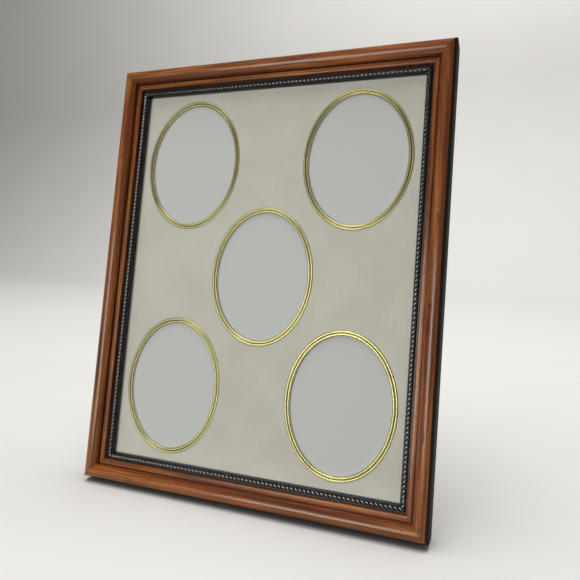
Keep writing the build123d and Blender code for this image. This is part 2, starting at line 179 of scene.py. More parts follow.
def placed(name, data):
    """An object put in the scene."""
    made = bpy.data.objects.new(name, data)
    bpy.context.scene.collection.objects.link(made)
    return made


def piece(name, mesh, material, body, slot, *nodes, crease=35.0, even=False):
    """Puts a finished mesh in the scene, riding on its body, in place of its CAD nodes. It is smooth but for
    its creases. An even one has its points' normals weighted by its faces' areas, so wide faces look flat."""
    mesh.name = name
    mesh.shade_smooth()
    if even:
        weighted = gathered(mesh.polygons, "normal", 3) * gathered(mesh.polygons, "area")[:, None]
        sizes = gathered(mesh.polygons, "loop_total", kind=np.int32)
        corners = gathered(mesh.loops, "vertex_index", kind=np.int32)
        normals = np.zeros((len(mesh.vertices), 3))
        np.add.at(normals, corners, np.repeat(weighted, sizes, axis=0))
        normals /= np.maximum(np.linalg.norm(normals, axis=1, keepdims=True), 1e-15)
        mesh.normals_split_custom_set_from_vertices(normals)
    else:
        mesh.set_sharp_from_angle(angle=math.radians(crease))
    mesh.materials.clear()
    mesh.materials.append(material)
    made = placed(name, mesh)
    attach(made, body)
    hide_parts(*nodes)
    return made


def shade(red, green, blue):
    """A screen colour, 0 to 255, as the shader's linear one."""
    screen = np.array([red, green, blue]) / 255
    linear = np.where(screen <= 0.04045, screen / 12.92, ((screen + 0.055) / 1.055) ** 2.4)
    return (*[float(value) for value in linear], 1.0)


def feed(made, inputs):
    """Fills a node's inputs by name or number, with another node's output or a plain value."""
    for socket, value in inputs.items():
        if isinstance(value, bpy.types.NodeSocket):
            made.id_data.links.new(value, made.inputs[socket])
        else:
            made.inputs[socket].default_value = value


def node(tree, kind, inputs=None, **settings):
    """A shader node with its settings and inputs."""
    made = tree.nodes.new("ShaderNode" + kind)
    for setting, value in settings.items():
        setattr(made, setting, value)
    feed(made, inputs or {})
    return made


def answer(kind, inputs, output=0, **settings):
    """One output of a node, which stands in the tree that its inputs come from."""
    tree = next(value.id_data for value in inputs.values() if isinstance(value, bpy.types.NodeSocket))
    return node(tree, kind, inputs, **settings).outputs[output]


def sums(operation, *values):
    """One Math node's output."""
    return answer("Math", dict(enumerate(values)), operation=operation)


def times(first, second):
    """The product of two values."""
    return sums("MULTIPLY", first, second)


def over(share, below, above):
    """The colour above laid on the colour below, by a share. A plain one is a screen colour, 0 to 255."""
    below, above = (shade(*colour) if isinstance(colour, tuple) else colour for colour in (below, above))
    return answer("Mix", {0: share, 6: below, 7: above}, 2, data_type="RGBA")


def spread(value, low, high, to_low=0.0, to_high=1.0):
    """A value between two limits stretched to two others, and held there outside them."""
    limits = {"Value": value, "From Min": low, "From Max": high, "To Min": to_low, "To Max": to_high}
    return answer("MapRange", limits)


def noise(place, scale, detail=3.0, roughness=0.5, distortion=0.0):
    """One Noise Texture's value at a place. The scale is one number, or a number for each direction."""
    if isinstance(scale, tuple):
        place = answer("VectorMath", {0: place, 1: (*scale, 1.0)[:3]}, operation="MULTIPLY")
        scale = 1.0
    values = {"Vector": place, "Scale": scale, "Detail": detail, "Roughness": roughness}
    return answer("TexNoise", {**values, "Distortion": distortion}, "Fac")


def bumped(height, distance, strength=1.0):
    """A normal from a height."""
    values = {"Height": height, "Distance": distance, "Strength": strength}
    return answer("Bump", values)


def attribute(tree, name):
    """One of the piece's own masks."""
    return node(tree, "Attribute", attribute_name=name).outputs["Fac"]


def new_material(name, values, coordinate="UV"):
    """A material with plain numbers and colours on its shader's own sockets. It comes with its node tree, its
    Principled shader and the place that one texture coordinate gives."""
    made = bpy.data.materials.new(name)
    made.use_nodes = True
    shader = made.node_tree.nodes["Principled BSDF"]
    feed(shader, values)
    place = node(made.node_tree, "TexCoord").outputs[coordinate] if coordinate else None
    return made, made.node_tree, shader, place


def new_group(name, inputs, outputs):
    """An empty node group with named inputs and outputs."""
    tree = bpy.data.node_groups.new(name, "ShaderNodeTree")
    for socket, (kind, value) in inputs.items():
        made = tree.interface.new_socket(name=socket, in_out="INPUT", socket_type="NodeSocket" + kind)
        made.default_value = value
    for socket in outputs:
        tree.interface.new_socket(name=socket, in_out="OUTPUT", socket_type="NodeSocketFloat")
    return tree, tree.nodes.new("NodeGroupInput").outputs, tree.nodes.new("NodeGroupOutput").inputs


def grouped(tree, group, inputs):
    """The outputs of a node group placed in a material, with its own inputs."""
    return node(tree, "Group", inputs, node_tree=group).outputs


# Grain shared by the stained face and the bare back: slow bands, fine growth lines and short dark pores,
# all drawn out along the rail
grain, given, gives = new_group(
    "long_grain",
    {"Place": ("Vector", (0, 0, 0)), "Bands": ("Float", 60.0), "Lines": ("Float", 600.0)},
    ["Tone", "Line", "Pore"],
)
bands_place = answer("CombineXYZ", {0: 5.0, 1: given["Bands"], 2: 1.0})
lines_place = answer("CombineXYZ", {0: 22.0, 1: given["Lines"], 2: 1.0})
pores_place = answer("CombineXYZ", {0: 170.0, 1: given["Lines"], 2: 1.0})
for socket, place, detail, roughness in (
    ("Tone", bands_place, 4.0, 0.55),
    ("Line", lines_place, 3.0, 0.6),
    ("Pore", pores_place, 2.0, 0.5),
):
    drawn_out = answer("VectorMath", {0: given["Place"], 1: place}, operation="MULTIPLY")
    value = noise(drawn_out, 1.0, detail, roughness, 0.4)
    if socket == "Pore":
        value = spread(value, 0.62, 0.72)
    grain.links.new(value, gives[socket])

# Rubbing shared by the stained wood, the black lacquer and the gilt foil: an edge mask broken up by noise
rub, given, gives = new_group(
    "rubbed_edge",
    {
        "Edge": ("Float", 0.0),
        "Place": ("Vector", (0, 0, 0)),
        "Size": ("Float", 400.0),
        "Amount": ("Float", 0.5),
    },
    ["Mask"],
)
broken = times(given["Edge"], noise(given["Place"], given["Size"], 5.0, 0.65))
start = sums("SUBTRACT", 0.75, times(given["Amount"], 0.5))
rub.links.new(spread(broken, start, sums("ADD", start, 0.12)), gives["Mask"])

cherry, tree, shader, own_uv = new_material(
    "stained_cherry",
    {"Coat Roughness": 0.19, "IOR": 1.45, "Specular IOR Level": 0.3, "Specular Tint": (1.0, 0.74, 0.52, 1.0)},
)
fine = grouped(tree, grain, {"Place": own_uv, "Bands": 160.0, "Lines": 1500.0})
tint = over(spread(fine["Tone"], 0.36, 0.64), (84, 40, 14), (164, 96, 38))
streaks = noise(own_uv, (16.0, 520.0), 4.0, 0.6, 0.3)
tint = over(spread(streaks, 0.44, 0.6, 0.0, 0.7), tint, (60, 25, 11))
tint = over(spread(fine["Line"], 0.4, 0.64, 0.0, 0.45), tint, (58, 24, 10))
patches = noise(own_uv, (11.0, 70.0), 2.0)
tint = over(spread(patches, 0.5, 0.68, 0.0, 0.45), tint, (112, 40, 20))
tint = over(times(fine["Pore"], 0.7), tint, (26, 11, 6))
# Painted shade: the groove and the low inner side of the half-round are darkened, as shade falls in them
tint = over(times(attribute(tree, "hollow"), 0.8), tint, (80, 36, 14))
tint = over(times(attribute(tree, "bruise"), 0.85), tint, (70, 16, 10))
edge = grouped(tree, rub, {"Edge": attribute(tree, "ridge"), "Place": own_uv, "Size": 260.0, "Amount": 0.55})
tint = over(times(edge["Mask"], 0.22), tint, (176, 116, 66))
bare_tone = over(spread(fine["Tone"], 0.36, 0.64), (150, 112, 74), (196, 160, 116))
bare_tone = over(spread(fine["Line"], 0.4, 0.64, 0.0, 0.45), bare_tone, (116, 82, 52))
tint = over(attribute(tree, "bare"), tint, bare_tone)
# Black from the painted mask: sprayed paint, and on the right rail also painted shade past where the paint
# stops
mist = noise(own_uv, (2600.0, 2600.0), 3.0, 0.6)
mist = sums("ADD", attribute(tree, "painted"), spread(mist, 0.3, 0.7, -0.2, 0.2))
paint = spread(mist, 0.3, 0.72)
tint = over(paint, tint, (13, 11, 10))
gloss = spread(fine["Tone"], 0.36, 0.64, 0.36, 0.46)
gloss = sums("ADD", gloss, times(attribute(tree, "bare"), 0.35))
gloss = sums("ADD", gloss, times(paint, 0.3))
lacquer = times(sums("SUBTRACT", 1.0, attribute(tree, "bare")), 0.42)
lacquer = times(lacquer, sums("SUBTRACT", 1.0, paint))
relief = sums("SUBTRACT", spread(fine["Line"], 0.35, 0.65, 0.0, 0.6), fine["Pore"])
relief = sums("ADD", relief, noise(own_uv, (130.0, 260.0), 1.0))
relief = bumped(relief, 0.00012, 0.8)
feed(shader, {"Base Color": tint, "Roughness": gloss, "Coat Weight": lacquer, "Normal": relief})

rail_profile = np.concatenate(
    [
        run((rabbet_edge, 0), (rail_width - back_ease, 0), 12),
        run((rail_width, back_ease), (rail_width, round_level), 12),
        arc(round_middle, round_level, round_radius, 0, 180, 44)[1:],
        run((groove_outer, groove_floor), (groove_inner, groove_floor), 2),
        run((groove_inner, groove_floor), (groove_inner, lip_top - lip_outer_round), 3)[1:],
        arc(groove_inner - lip_outer_round, lip_top - lip_outer_round, lip_outer_round, 0, 90, 6)[1:],
        arc(lip_inner + lip_inner_round, lip_top - lip_inner_round, lip_inner_round, 90, 180, 12),
        run((lip_inner, lip_top - lip_inner_round), (lip_inner, lip_level), 5)[1:],
        run((rabbet_edge, lip_level), (rabbet_edge, 0), 4),
    ]
)
out, level = rail_profile.T
way = distances(rail_profile)
slope = np.gradient(rail_profile, axis=0)
facing = np.stack([slope[:, 1], -slope[:, 0]], axis=1) / np.linalg.norm(slope, axis=1, keepdims=True)
turn = np.degrees(np.arctan2(level - round_level, out - round_middle))
on_round = (out >= groove_outer - 1e-6) & (level >= round_level - 1e-6)
back_face = level < 1e-6
flank = out > rail_width - 1e-5
inside = (out < rabbet_edge + 1e-6) & (level < lip_level + 1e-6)
overspray_start, overspray_full = 0.016, 0.0235
overspray = rise(out, overspray_start, overspray_full)
painted = np.where(back_face, overspray, np.where(flank, 1.0, 0.0))
bare = np.where(back_face | inside, 1.0, 0.0)
in_groove = (out > groove_inner - 1e-6) & (out < groove_outer + 1e-6)
in_groove &= level < lip_top - lip_outer_round
# The painted shade mask: the groove, and the half-round's inner side where it dips into the groove
hollow = np.where(in_groove, 1.0, 0.0)
hollow = np.where(on_round, rise(turn, 150, 178), hollow)
inner_wear, outer_wear, wear_depth = 0.0016, 0.0008, 0.0006
ridge = np.where((out < lip_inner + inner_wear) & (level > lip_top - inner_wear), 0.9, 0.0)
on_outer_edge = (out > groove_inner - outer_wear) & (out < groove_inner + 1e-6)
on_outer_edge &= level > lip_top - wear_depth
ridge = np.where(on_outer_edge, 0.8, ridge)
ridge = np.where(on_round, 0.55 * (1 - rise(np.abs(turn - 100), 8, 40)), ridge)
# A point inside the section, to which each mitred end is closed
middle_of_wood = np.array([0.015, 0.010])
# The angle on each half-round where the sprayed paint begins to thin out, and over how many degrees. On the
# right rail the black reaches further round as painted shade, on the side turned away from the key lamp.
paint_line_and_right_shade = {"top": 30, "bottom": 28, "left": 30, "right": 40}
paint_fade = 26
# Knocks on the right rail: place along it from the middle, angle on the half-round, length and width
knocks = (
    (0.034, 128, 0.009, 0.0024),
    (0.019, 118, 0.004, 0.0016),
    (-0.052, 96, 0.003, 0.0014),
    (0.118, 104, 0.004, 0.0013),
)
knock_depth = 0.00016
# Each rail is cut from another place in the wood
grain_along, grain_across = 1.37, 0.31

for index, (side, (*_, half)) in enumerate(sides.items()):
    reach = np.linspace(-1, 1, rail_rows)[:, None] * (half + out - mitre_gap)
    bruise = np.zeros_like(reach)
    for place, angle, length, width in knocks if side == "right" else ():
        gap = (np.radians(turn - angle) * round_radius)[None, :] / width
        bruise += on_round * np.exp(-(((reach - place) / length) ** 2) - gap**2)
    end_out, end_level = middle_of_wood[:, None] + 0 * out
    rows_out = np.vstack([end_out, out - bruise * knock_depth * facing[:, 0], end_out])
    rows_level = np.vstack([end_level, level - bruise * knock_depth * facing[:, 1], end_level])
    tip = half + end_out - mitre_gap
    rows_reach = np.vstack([-tip, reach, tip])
    black_and_shade_share = 1 - rise(turn, paint_line_and_right_shade[side], paint_line_and_right_shade[side] + paint_fade)
    mesh = grid_mesh(
        "rail",
        at_side(side, rows_out, rows_reach, rows_level),
        metre_uv(rows_reach + grain_along * index, way + grain_across * index, rows_reach.shape),
        painted=np.where(on_round, black_and_shade_share, painted),
        bare=bare,
        hollow=hollow,
        ridge=ridge,
        bruise=np.vstack([bruise[:1], bruise, bruise[-1:]]),
    )
    piece("moulding_" + side, mesh, cherry, "frame", "wood", "rail_" + side)


# The slips: four black lacquered strips of rope-bead moulding, pinned under the lip with their flange flat on
# the glass. The rope's lobes are pressed slantwise, so that each overlaps the next like a strand.
slip_height = 0.0032
slip_top = glass_front + slip_height
slip_foot = 0.0004
slip_draft = 0.00035
slip_edge = lip_inner - 0.0002
flange_edge = rabbet_edge - 0.0002
rope_middle = 0.0029
rope_radius = 0.0021
rope_pitch = 0.0037
rope_slant = math.radians(50.0)
rope_root = 0.00035
rope_soft = 0.0004
rows_a_lobe = 10
rope_columns = 17

lacquer_black, tree, shader, own_uv = new_material(
    "black_lacquer", {"IOR": 1.5, "Specular IOR Level": 0.35, "Coat IOR": 1.75, "Coat Roughness": 0.16}
)
mottle = noise(own_uv, (300.0, 700.0), 4.0)
tint = over(mottle, (7, 6, 5), (15, 12, 10))
settled = times(attribute(tree, "valley"), spread(mottle, 0.35, 0.65))
tint = over(times(settled, 0.25), tint, (34, 26, 20))
edge = grouped(tree, rub, {"Edge": attribute(tree, "crest"), "Place": own_uv, "Size": 700.0, "Amount": 0.5})
tint = over(times(edge["Mask"], 0.4), tint, (74, 58, 46))
gloss = spread(mottle, 0.3, 0.7, 0.3, 0.42)
lacquer = spread(attribute(tree, "crest"), 0.1, 0.7)
relief = bumped(mottle, 0.00004, 0.6)
feed(shader, {"Base Color": tint, "Roughness": gloss, "Coat Weight": lacquer, "Normal": relief})

# A point inside the section, to which each mitred end is closed, and how far the mottling moves on a slip
slip_core = (0.0040, glass_front + 0.0015)
mottle_along = 0.9
ridge_turn = np.linspace(0, math.pi, rope_columns)
for index, (side, (*_, half)) in enumerate(sides.items()):
    rows = rows_a_lobe * 2 * round(half / rope_pitch) + 1
    before = np.vstack(
        [
            run((0, glass_front), (flange_edge, glass_front), 3),
            run((flange_edge, lip_level), (slip_edge, lip_level), 2),
            run((slip_edge, lip_level), (slip_edge, slip_top), 2)[1:],
        ]
    )
    after = np.vstack([run((slip_draft, slip_top), (0, glass_front + slip_foot), 3), [(0, glass_front)]])
    plain_out = rope_middle + rope_radius * np.cos(ridge_turn)
    plain = np.stack([plain_out, np.full(rope_columns, slip_top)], axis=1)
    flat = np.vstack([before, plain, after])
    share = np.linspace(-1, 1, rows)[:, None]
    reach = share * (half + flat[:, 0] - mitre_gap)
    rope = slice(len(before), len(before) + rope_columns)
    phase = (reach[:, rope] + (flat[rope, 0] - rope_middle) / math.tan(rope_slant)) / rope_pitch
    wave = 2 * (phase - np.floor(phase)) - 1
    lobe = np.sqrt(np.clip(1 - wave**2, 0, 1))
    arch = rope_radius * np.sin(ridge_turn)
    cap = rope_root + (rope_radius - rope_root) * lobe
    blend = np.clip(0.5 + (cap - arch) / (2 * rope_soft), 0, 1)
    level_rows = np.broadcast_to(flat[:, 1], reach.shape).copy()
    level_rows[:, rope] = slip_top + cap + (arch - cap) * blend - rope_soft * blend * (1 - blend)
    out_rows = np.broadcast_to(flat[:, 0], reach.shape)
    end_out, end_level = (np.full((1, reach.shape[1]), core) for core in slip_core)
    out_rows = np.vstack([end_out, out_rows, end_out])
    level_rows = np.vstack([end_level, level_rows, end_level])
    tip = half + end_out - mitre_gap
    reach = np.vstack([-tip, reach, tip])
    valley = np.zeros(reach.shape)
    valley[1:-1, rope] = (1 - lobe) * np.sin(ridge_turn)
    crest = np.zeros(reach.shape)
    crest[1:-1, rope] = lobe * np.sin(ridge_turn) ** 2
    points = at_side(side, out_rows, reach, level_rows)
    uv = metre_uv(reach + mottle_along * index, distances(flat), reach.shape)
    mesh = grid_mesh("slip", points, uv, valley=valley, crest=crest)
    piece("rope_slip_" + side, mesh, lacquer_black, "frame", "black slip", "slip_" + side, crease=60.0)


# The glass: one pane of 2 mm picture glass, its cut edges seamed. It lies under the slips on the gold rings,
# and the boards behind press it forward.
def softened(name, original, width, material, body, slot, segments=2):
    """A piece that copies its CAD node, with doubles merged, flat faces joined and edges rounded over."""
    mesh = frame["nodes"][original].data.copy()
    shell = bmesh.new()
    shell.from_mesh(mesh)
    bmesh.ops.remove_doubles(shell, verts=shell.verts, dist=1e-6)
    level, bend = math.radians(0.5), math.radians(30)
    bmesh.ops.dissolve_limit(
        shell, angle_limit=level, verts=shell.verts, edges=shell.edges, use_dissolve_boundaries=False
    )
    sharp = [edge for edge in shell.edges if edge.is_manifold and edge.calc_face_angle() > bend]
    bmesh.ops.bevel(
        shell, geom=sharp, offset=width, segments=segments, profile=0.5, affect="EDGES", clamp_overlap=True
    )
    shell.to_mesh(mesh)
    shell.free()
    return piece(name, mesh, material, body, slot, original, even=True)


glass, tree, shader, _ = new_material(
    "picture_glass",
    {
        "Base Color": (0.985, 0.995, 0.99, 1.0),
        "Roughness": 0.0,
        "IOR": 1.5,
        "Specular IOR Level": 0.12,
        "Transmission Weight": 1.0,
    },
    None,
)
clear = node(tree, "BsdfTransparent", {"Color": (0.97, 0.98, 0.975, 1.0)}).outputs[0]
path = node(tree, "LightPath").outputs
passing = sums("MAXIMUM", path["Is Shadow Ray"], path["Is Diffuse Ray"])
mixed = answer("MixShader", {0: passing, 1: shader.outputs[0], 2: clear})
tree.links.new(mixed, tree.nodes["Material Output"].inputs["Surface"])
pane = softened("picture_glass", "glass_pane", 0.0003, glass, "frame", "glass", segments=1)


# The mat: cream mat board, 1.5 mm thick, with five oval openings cut straight through. Its paper face has
# a faint laid texture that runs up the frame.
mat_level = 0.0065
mat_thickness = 0.0015
board_half = (picture_width / 2 - 0.0005, picture_height / 2 - 0.0005)
opening_half = (0.0432, 0.0567)
oval_step = (0.0792, 0.1034)
oval_points = 144
oval_places = {
    "top_left": (-oval_step[0], oval_step[1]),
    "top_right": oval_step,
    "centre": (0.0, 0.0),
    "bottom_left": (-oval_step[0], -oval_step[1]),
    "bottom_right": (oval_step[0], -oval_step[1]),
}


def oval(place):
    """Points of an opening's ellipse round its place: half the opening's size times cosine and sine."""
    turn = np.linspace(0, 2 * math.pi, oval_points, endpoint=False)
    return np.array(place) + np.column_stack([np.cos(turn), np.sin(turn)]) * opening_half


def cut_board(name, outlines, low, high):
    """A flat board with holes: filled outlines with a thickness, laid at their level on the frame."""
    curve = bpy.data.curves.new(name, "CURVE")
    curve.dimensions = "2D"
    curve.fill_mode = "BOTH"
    curve.extrude = (high - low) / 2
    for outline in outlines:
        spline = curve.splines.new("POLY")
        spline.points.add(len(outline) - 1)
        flat = np.column_stack([outline, np.zeros(len(outline)), np.ones(len(outline))])
        spline.points.foreach_set("co", flat.astype(np.float32).ravel())
        spline.use_cyclic_u = True
    drawn = placed(name, curve)
    bpy.context.view_layer.update()
    evaluated = drawn.evaluated_get(bpy.context.evaluated_depsgraph_get())
    mesh = bpy.data.meshes.new_from_object(evaluated)
    bpy.data.objects.remove(drawn)
    x, y, z = gathered(mesh.vertices, "co", 3).T
    mesh.vertices.foreach_set("co", stand(x, y, z + (low + high) / 2).astype(np.float32).ravel())
    corners = gathered(mesh.loops, "vertex_index", kind=np.int32)
    layer = mesh.uv_layers.get("UVMap") or mesh.uv_layers.new(name="UVMap")
    layer.uv.foreach_set("vector", np.column_stack([x, y])[corners].astype(np.float32).ravel())
    shell = bmesh.new()
    shell.from_mesh(mesh)
    bmesh.ops.remove_doubles(shell, verts=shell.verts, dist=1e-6)
    bmesh.ops.recalc_face_normals(shell, faces=shell.faces)
    shell.to_mesh(mesh)
    shell.free()
    return mesh


def rectangle(half_width, half_height):
    """The four corners of a board."""
    return np.array([(-1, -1), (1, -1), (1, 1), (-1, 1)]) * (half_width, half_height)


mat_paper, tree, shader, own_uv = new_material("cream_mat", {"Roughness": 0.85, "Specular IOR Level": 0.25})
laid = noise(own_uv, (1500.0, 45.0), 3.0, 0.6)
chain = noise(own_uv, (60.0, 1300.0), 2.0)
cloud = noise(own_uv, 22.0, 3.0)
tint = over(spread(cloud, 0.35, 0.65), (181, 177, 165), (188, 183, 172))
tint = over(spread(laid, 0.45, 0.75, 0.0, 0.4), tint, (170, 165, 153))
weave = sums("ADD", laid, times(chain, 0.5))
feed(shader, {"Base Color": tint, "Normal": bumped(weave, 0.00006, 0.5)})
openings = [oval(place) for place in oval_places.values()]
mat_mesh = cut_board("mat", [rectangle(*board_half)] + openings, mat_level, mat_level + mat_thickness)
piece("cream_mat_board", mat_mesh, mat_paper, "frame", "mat board", "mat_board")


# The gold rings: bands of gilt foil on card, one glued round each opening. Two raised lines are pressed into
# each band with a die, and the trough between them is coloured dark as painted shade.
ring_level = mat_level + mat_thickness
ring_setback = 0.0002
ring_band = 0.0047
ring_base = 0.00025
ring_height = glass_level - ring_level

gilt, tree, shader, own_uv = new_material("gilt_foil", {"Metallic": 1.0, "Anisotropic": 0.4})
drawn = noise(own_uv, (60.0, 5200.0), 3.0, 0.6)
crinkle = noise(own_uv, (900.0, 260.0), 3.0, 0.6)
tint = over(spread(crinkle, 0.3, 0.7), (226, 212, 120), (246, 238, 182))
# Painted shade: the trough between the raised lines is coloured dark olive
dark_in_trough = spread(attribute(tree, "trough"), 0.25, 0.75, 0.0, 0.92)
tint = over(dark_in_trough, tint, (60, 50, 14))
edge = grouped(tree, rub, {"Edge": attribute(tree, "crest"), "Place": own_uv, "Size": 500.0, "Amount": 0.35})
tint = over(times(edge["Mask"], 0.5), tint, (244, 238, 200))
gloss = spread(drawn, 0.3, 0.7, 0.12, 0.24)
foil = bumped(sums("ADD", times(drawn, 0.35), crinkle), 0.00005, 0.45)
feed(shader, {"Base Color": tint, "Roughness": gloss, "Normal": foil})

bead_share = np.linspace(-1, 1, 21)
across_band = np.concatenate([(1 + bead_share) / 4, (3 + bead_share[1:]) / 4])
bead_share = np.concatenate([bead_share, bead_share[1:]])
lines = np.clip(1 - np.abs(1.35 * bead_share) ** 4, 0, 1)
cut_edge = 0.02
edge_fall = rise(across_band, 0.0, cut_edge) * (1 - rise(across_band, 1.0 - cut_edge, 1.0))
band_height = edge_fall * (ring_base + (ring_height - ring_base) * lines)
band_out = ring_setback + ring_band * across_band
section = np.vstack([np.column_stack([band_out, band_height]), [(band_out[-1], 0), (band_out[0], 0)]])
crest = np.append(edge_fall * lines, [0, 0])
trough = np.append(1 - lines, [0, 0])
for name, place in oval_places.items():
    turn = np.linspace(0, 2 * math.pi, 161)[:, None]
    x = place[0] + (opening_half[0] + section[:, 0]) * np.cos(turn)
    y = place[1] + (opening_half[1] + section[:, 0]) * np.sin(turn)
    length = turn * (opening_half[0] + opening_half[1]) / 2
    uv = metre_uv(length, distances(section), x.shape)
    mesh = grid_mesh("ring", stand(x, y, ring_level + section[:, 1]), uv, crest=crest, trough=trough)
    piece("gilt_ring_" + name, mesh, gilt, "frame", "gold ring", "ring_" + name, crease=50.0)


# The backing paper and filler card: a sheet of smooth pale paper shows through the openings, on a sheet of
# grey card that fills the rabbet behind the mat.
paper, tree, shader, place = new_material(
    "pale_paper", {"Roughness": 0.8, "Specular IOR Level": 0.3}, "Object"
)
fibre = noise(place, 900.0, 5.0, 0.6)
tint = over(fibre, (178, 177, 175), (187, 186, 183))
feed(shader, {"Base Color": tint, "Normal": bumped(fibre, 0.00003, 0.4)})
softened("pale_backing_paper", "backing_paper", 0.00004, paper, "frame", "paper", segments=1)

card, tree, shader, place = new_material("grey_card", {"Roughness": 0.9, "Specular IOR Level": 0.2}, "Object")
fibre = noise(place, (260.0, 260.0, 120.0), 6.0, 0.65)
layers = noise(place, (30.0, 2600.0, 30.0), 2.0)
tint = over(fibre, (128, 120, 104), (166, 158, 142))
tint = over(spread(layers, 0.5, 0.7, 0.0, 0.3), tint, (96, 88, 74))
feed(shader, {"Base Color": tint, "Normal": bumped(fibre, 0.0001, 0.5)})
softened("grey_filler_card", "filler_card", 0.0002, card, "frame", "filler card", segments=1)


# The corner nails: thin steel angles pressed into the back of the rails, two across each mitre, to hold the
# glued corner. They are left a hair proud of the wood.
nail_leg = 0.006
nail_thickness = 0.0006
nail_proud = 0.00012
nail_depth = 0.003
nail_inset = 0.00008
nail_places = (0.013, 0.0195)

steel, tree, shader, place = new_material("dull_steel", {"Metallic": 1.0}, "Object")
rolled = noise(place, 1400.0, 4.0, 0.6)
tint = over(rolled, (112, 112, 114), (168, 168, 170))
gloss = spread(rolled, 0.3, 0.7, 0.3, 0.5)
feed(shader, {"Base Color": tint, "Roughness": gloss, "Normal": bumped(rolled, 0.00003, 0.4)})

legs = np.array([(0, 0), (-nail_leg, 0), (-nail_leg, -nail_thickness), (-nail_thickness, -nail_thickness)])
legs = np.vstack([legs, [(-nail_thickness, -nail_leg), (0, -nail_leg), (0, 0)]]) + nail_thickness / 2
outline = legs * np.array([0, 1, 1, 1 - nail_inset / nail_leg, 0])[:, None, None]
depths = np.array([nail_depth, nail_depth, nail_inset - nail_proud, -nail_proud, -nail_proud])[:, None]
nails = []
for side_x in (-1, 1):
    for side_y in (-1, 1):
        for reach in nail_places:
            x = side_x * (sight_half[0] + reach + outline[..., 0])
            y = side_y * (sight_half[1] + reach + outline[..., 1])
            nails.append(stand(x, y, np.broadcast_to(depths, x.shape)))
mesh = grid_mesh("nails", np.stack(nails))
piece("pressed_corner_nails", mesh, steel, "frame", "steel", "corner_nails", crease=25.0)


# The back board and the leg: 3 mm hardboard, smooth and dark on the outside, sawn at the edges. The leg is
# cut slanting at its foot so that it stands flat.
hardboard, tree, shader, place = new_material("dark_hardboard", {"Specular IOR Level": 0.35}, "Object")
fleck = noise(place, 650.0, 6.0, 0.7)
strand = noise(place, (240.0, 900.0, 300.0), 4.0, 0.6, 1.5)
cloud = noise(place, 26.0, 3.0)
tint = over(fleck, (62, 44, 30), (112, 82, 56))
tint = over(spread(strand, 0.55, 0.72, 0.0, 0.5), tint, (142, 110, 80))
tint = over(spread(cloud, 0.35, 0.7, 0.0, 0.3), tint, (70, 50, 36))
gloss = spread(fleck, 0.3, 0.7, 0.5, 0.68)
pressed = bumped(sums("ADD", fleck, times(strand, 0.6)), 0.00008, 0.5)
feed(shader, {"Base Color": tint, "Roughness": gloss, "Normal": pressed})
softened("hardboard_back", "back_board", 0.0003, hardboard, "frame", "hardboard")
softened("hardboard_leg", "easel_leg", 0.0004, hardboard, "leg", "hardboard")


# The hinge: two leaves stamped from 0.8 mm steel and rolled round one pin, left with their dull mill finish.
# One leaf is riveted to the back board and one to the leg.
leaf_ease = 0.00012
softened("steel_leaf_on_board", "hinge_leaf_board", leaf_ease, steel, "frame", "steel")
softened("steel_leaf_on_leg", "hinge_leaf_leg", leaf_ease, steel, "leg", "steel")


def turned(base, axis, side, profile, columns=40):
    """A turned piece: each profile point (distance along the axis, radius) is carried round the axis,
    by the cosine and sine of an even run of angles along two directions square to it."""
    turn = np.linspace(0, 2 * math.pi, columns)[:, None]
    ring = np.cos(turn) * side + np.sin(turn) * np.cross(axis, side)
    return base + profile[:, None, :1] * axis + profile[:, None, 1:] * ring


def domed(radius, height, count=8):
    """A dome's profile from its rim to its pole: the radius times cosine, the height times sine."""
    turn = np.linspace(0, math.pi / 2, count)
    return np.column_stack([height * np.sin(turn), radius * np.cos(turn)])


joints = {joint["name"]: joint for joint in frame["joints"]}
hinge = np.array(joints["leg_hinge"]["pos_m"])
leg_angle = math.radians(26.0)
leg_up = up * math.cos(leg_angle) + forward * math.sin(leg_angle)
leg_front = forward * math.cos(leg_angle) - up * math.sin(leg_angle)
knuckle_end = 0.020
pin_radius = 0.001
pin_head_radius, pin_head_dome, pin_head_gap = 0.0017, 0.0006, 0.00005
pin_head = domed(pin_head_radius, pin_head_dome, 6)
head_base = knuckle_end + pin_head_gap
half_pin = np.vstack([[(0, pin_radius), (head_base, pin_radius)], pin_head + (head_base, 0)])
pin_profile = np.vstack([half_pin[::-1] * (-1, 1), half_pin])
mesh = grid_mesh("pin", turned(hinge, across, up, pin_profile))
piece("headed_hinge_pin", mesh, steel, "frame", "steel", "hinge_pin")


# The rivets: short steel rivets, domed where they hold the hinge and the hanger and flat where they hold the
# ribbon, each upset flush on its far side.
rivet_radius = 0.0012
rivet_head_radius = 0.0023
rivet_dome = 0.0011
rivet_flat = 0.00045
rivet_tail = 0.0021
rivet_ease = 0.0002
tail_proud = 0.00004
board_thickness = 0.003
leaf_thickness = 0.0008
leg_thickness = 0.003
leg_face = 0.0012
knuckle_radius = 0.002
tape_thickness = 0.0004
hinge_up = float(np.dot(hinge - frame_origin, up))


def on_leg(x, distance, height):
    """A place on the leg: across, down it from the hinge and out of its face towards the board."""
    x, distance, height = np.broadcast_arrays(x, distance, height)
    return hinge + x[..., None] * across - distance[..., None] * leg_up + height[..., None] * leg_front


def rivet_section(grip, flat=False):
    """A rivet's profile from the middle of its flush tail to the pole of its head."""
    tail = [(-tail_proud, 0), (-tail_proud, rivet_tail - rivet_ease), (0, rivet_tail), (0.0003, rivet_radius)]
    if flat:
        rim = rivet_flat - 0.00012
        head = [(rim, rivet_head_radius), (rivet_flat, rivet_head_radius - rivet_ease), (rivet_flat, 0)]
    else:
        head = domed(rivet_head_radius, rivet_dome)
    head = np.vstack([(0, rivet_head_radius), head]) + (grip, 0)
    return np.vstack([tail, [(grip, rivet_radius)], head])


def rivets(name, bases, axis, section, body, node):
    """A piece of several rivets, one on each base."""
    points = np.stack([turned(base, axis, across, section, 28) for base in bases])
    piece(name, grid_mesh("rivets", points), steel, body, "steel", node, crease=50.0)


